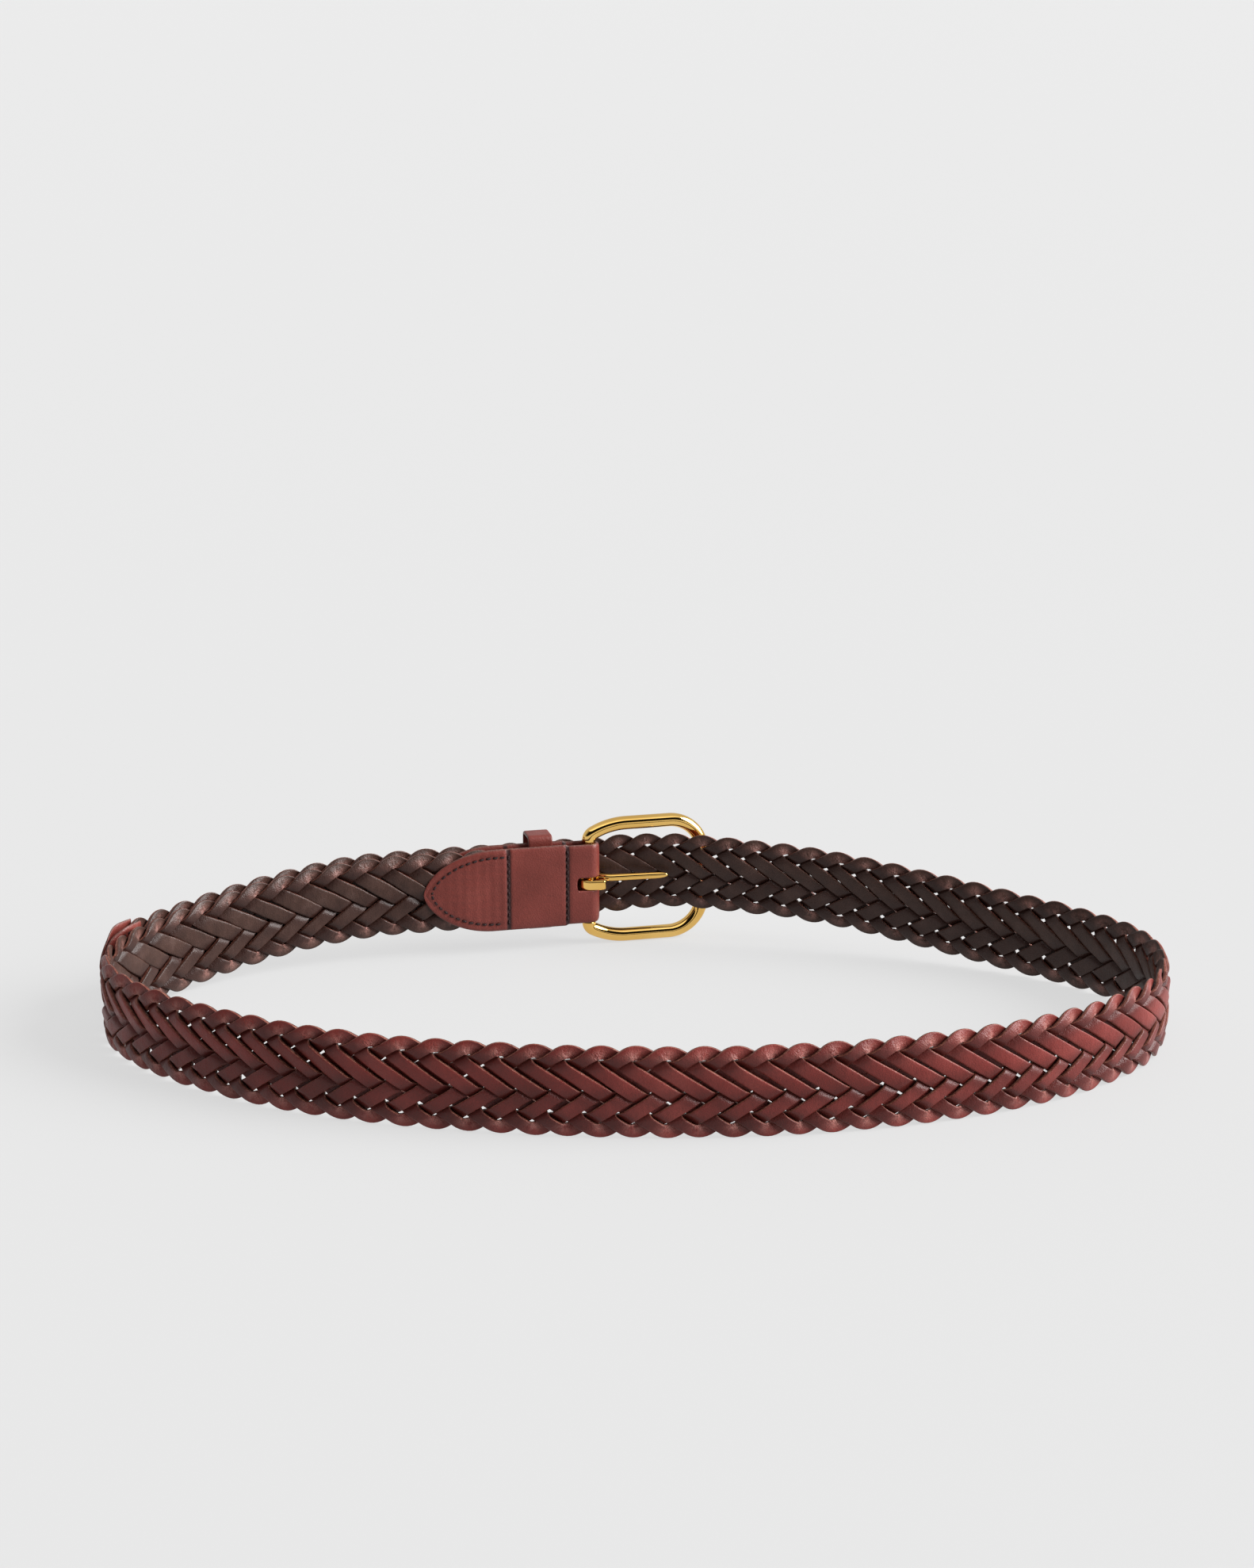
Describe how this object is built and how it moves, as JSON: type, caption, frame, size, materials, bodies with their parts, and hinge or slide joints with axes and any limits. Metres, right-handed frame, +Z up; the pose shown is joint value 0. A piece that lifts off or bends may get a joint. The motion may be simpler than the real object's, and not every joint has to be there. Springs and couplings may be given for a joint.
{
  "type": "belt",
  "caption": "Woven leather belt buckled into a loop and standing on its edge, with a folded leather chape, a sliding keeper and a brass frame buckle with a prong.",
  "frame": {"origin": "centre of the loop's box, at the level of the surface the belt stands on", "axes": "+Z up, across the strap's width; +X along the loop's length towards the buckle's toe; +Y from the front of the loop to the buckle"},
  "size_m": [0.3638, 0.2032, 0.048],
  "materials": {
    "strand_leather": "semi-matte drum-dyed leather with a raw flesh side",
    "chape_leather": "smooth, lightly waxed vegetable-tanned leather",
    "thread": "waxed thread",
    "brass": "polished",
    "staple_steel": "bright wire"
  },
  "bodies": {
    "strap": {"strand_1": "strand_leather", "strand_2": "strand_leather", "strand_3": "strand_leather", "strand_4": "strand_leather", "strand_5": "strand_leather", "strand_6": "strand_leather", "strand_7": "strand_leather", "strand_8": "strand_leather", "chape": "chape_leather", "edge_stitching": "thread", "braid_seam": "thread", "fold_seam": "thread", "tip_outer": "chape_leather", "tip_inner": "chape_leather", "tip_stitching": "thread"},
    "frame": {"buckle_frame": "brass"},
    "prong": {"prong": "brass"},
    "keeper": {"keeper": "chape_leather", "keeper_staple": "staple_steel"}
  },
  "joints": [
    {"name": "frame_swing", "type": "hinge", "parent": "strap", "child": "frame", "pos_m": [-0.01383, 0.08886, 0.024], "axis": [0, 0, 1], "range_deg": [0, 80]},
    {"name": "prong_swing", "type": "hinge", "parent": "strap", "child": "prong", "pos_m": [-0.01383, 0.08886, 0.024], "axis": [0, 0, -1], "range_deg": [0, 88]},
    {"name": "keeper_slide", "type": "slide", "parent": "strap", "child": "keeper", "axis": [0.9703, 0.2419, 0], "range_m": [-0.0065, 0.0035]}
  ]
}
